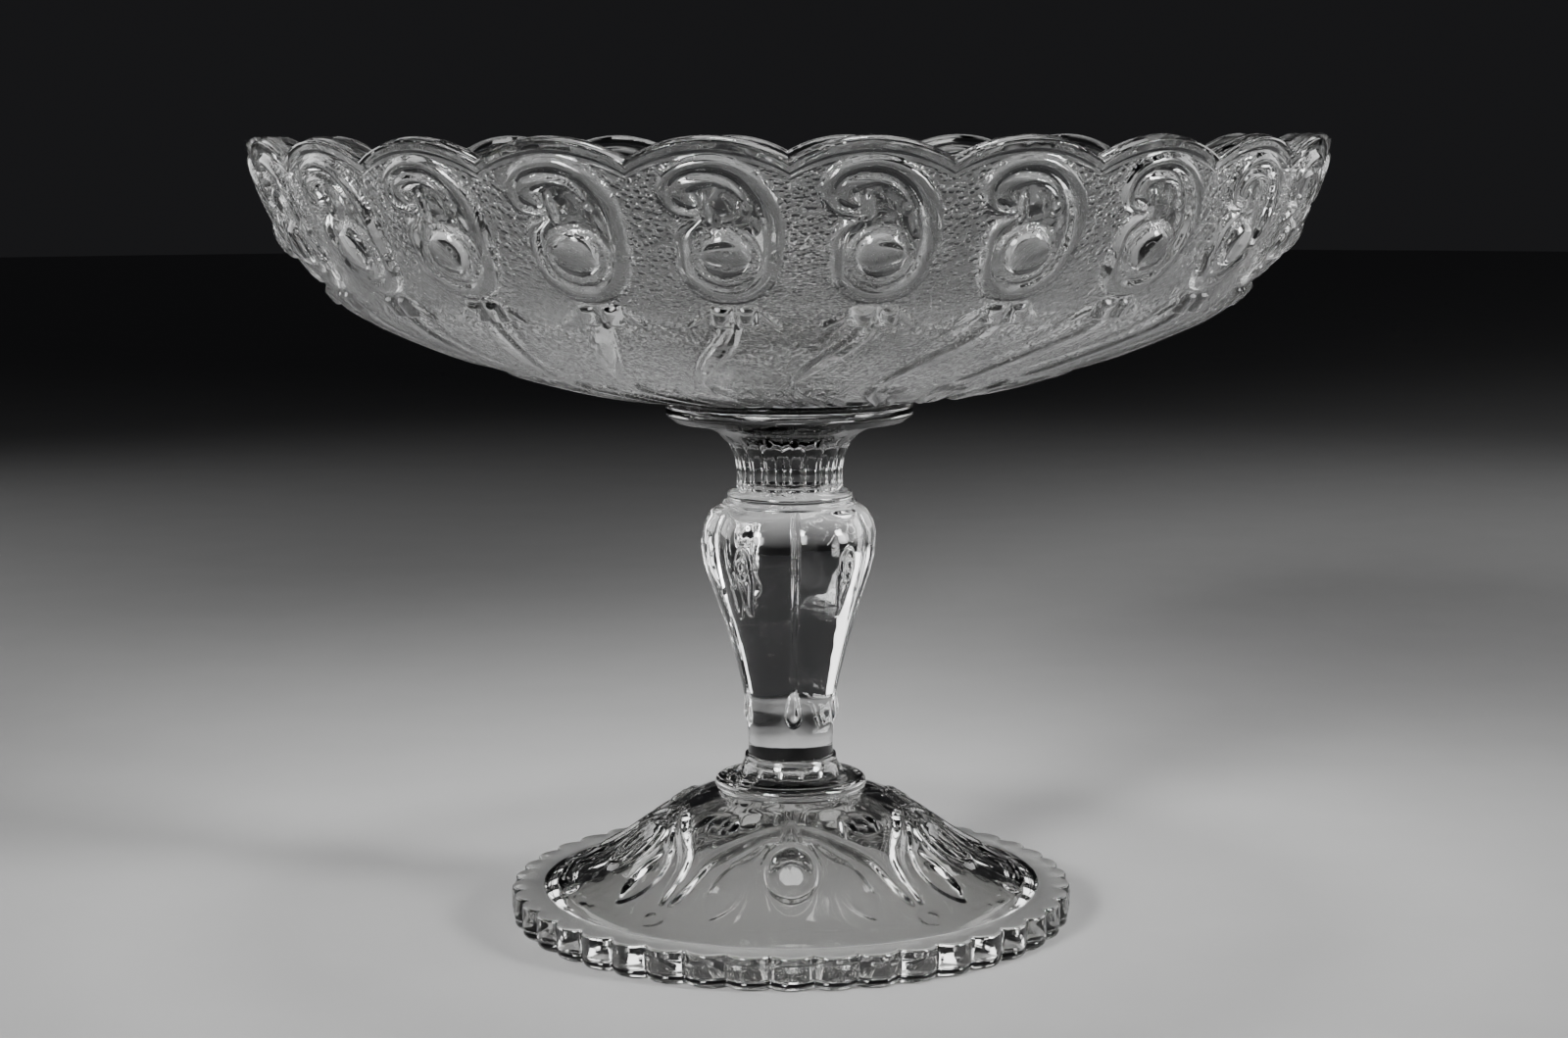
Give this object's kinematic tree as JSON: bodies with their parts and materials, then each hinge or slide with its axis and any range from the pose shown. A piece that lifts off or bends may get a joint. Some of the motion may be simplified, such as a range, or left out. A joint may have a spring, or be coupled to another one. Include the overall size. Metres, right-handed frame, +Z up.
{
  "type": "footed compote bowl",
  "caption": "Wide shallow glass bowl with a scalloped, ornamented side on a lobed baluster stem and a hollow round foot with a fluted border.",
  "frame": {"origin": "on the surface that the foot stands on, at the centre of the object's outline", "axes": "+Z up along the common axis of foot, stem and bowl; -Y towards the viewer of the picture"},
  "size_m": [0.2496, 0.2496, 0.187],
  "materials": {
    "foot_glass": "fire-polished clear, faintly grey",
    "stem_glass": "fire-polished clear",
    "wafer_glass": "fire-polished clear",
    "bowl_glass": "clear, stippled between the motifs"
  },
  "bodies": {
    "root": {"foot": "foot_glass", "stem": "stem_glass", "wafer": "wafer_glass", "bowl": "bowl_glass"}
  },
  "joints": []
}
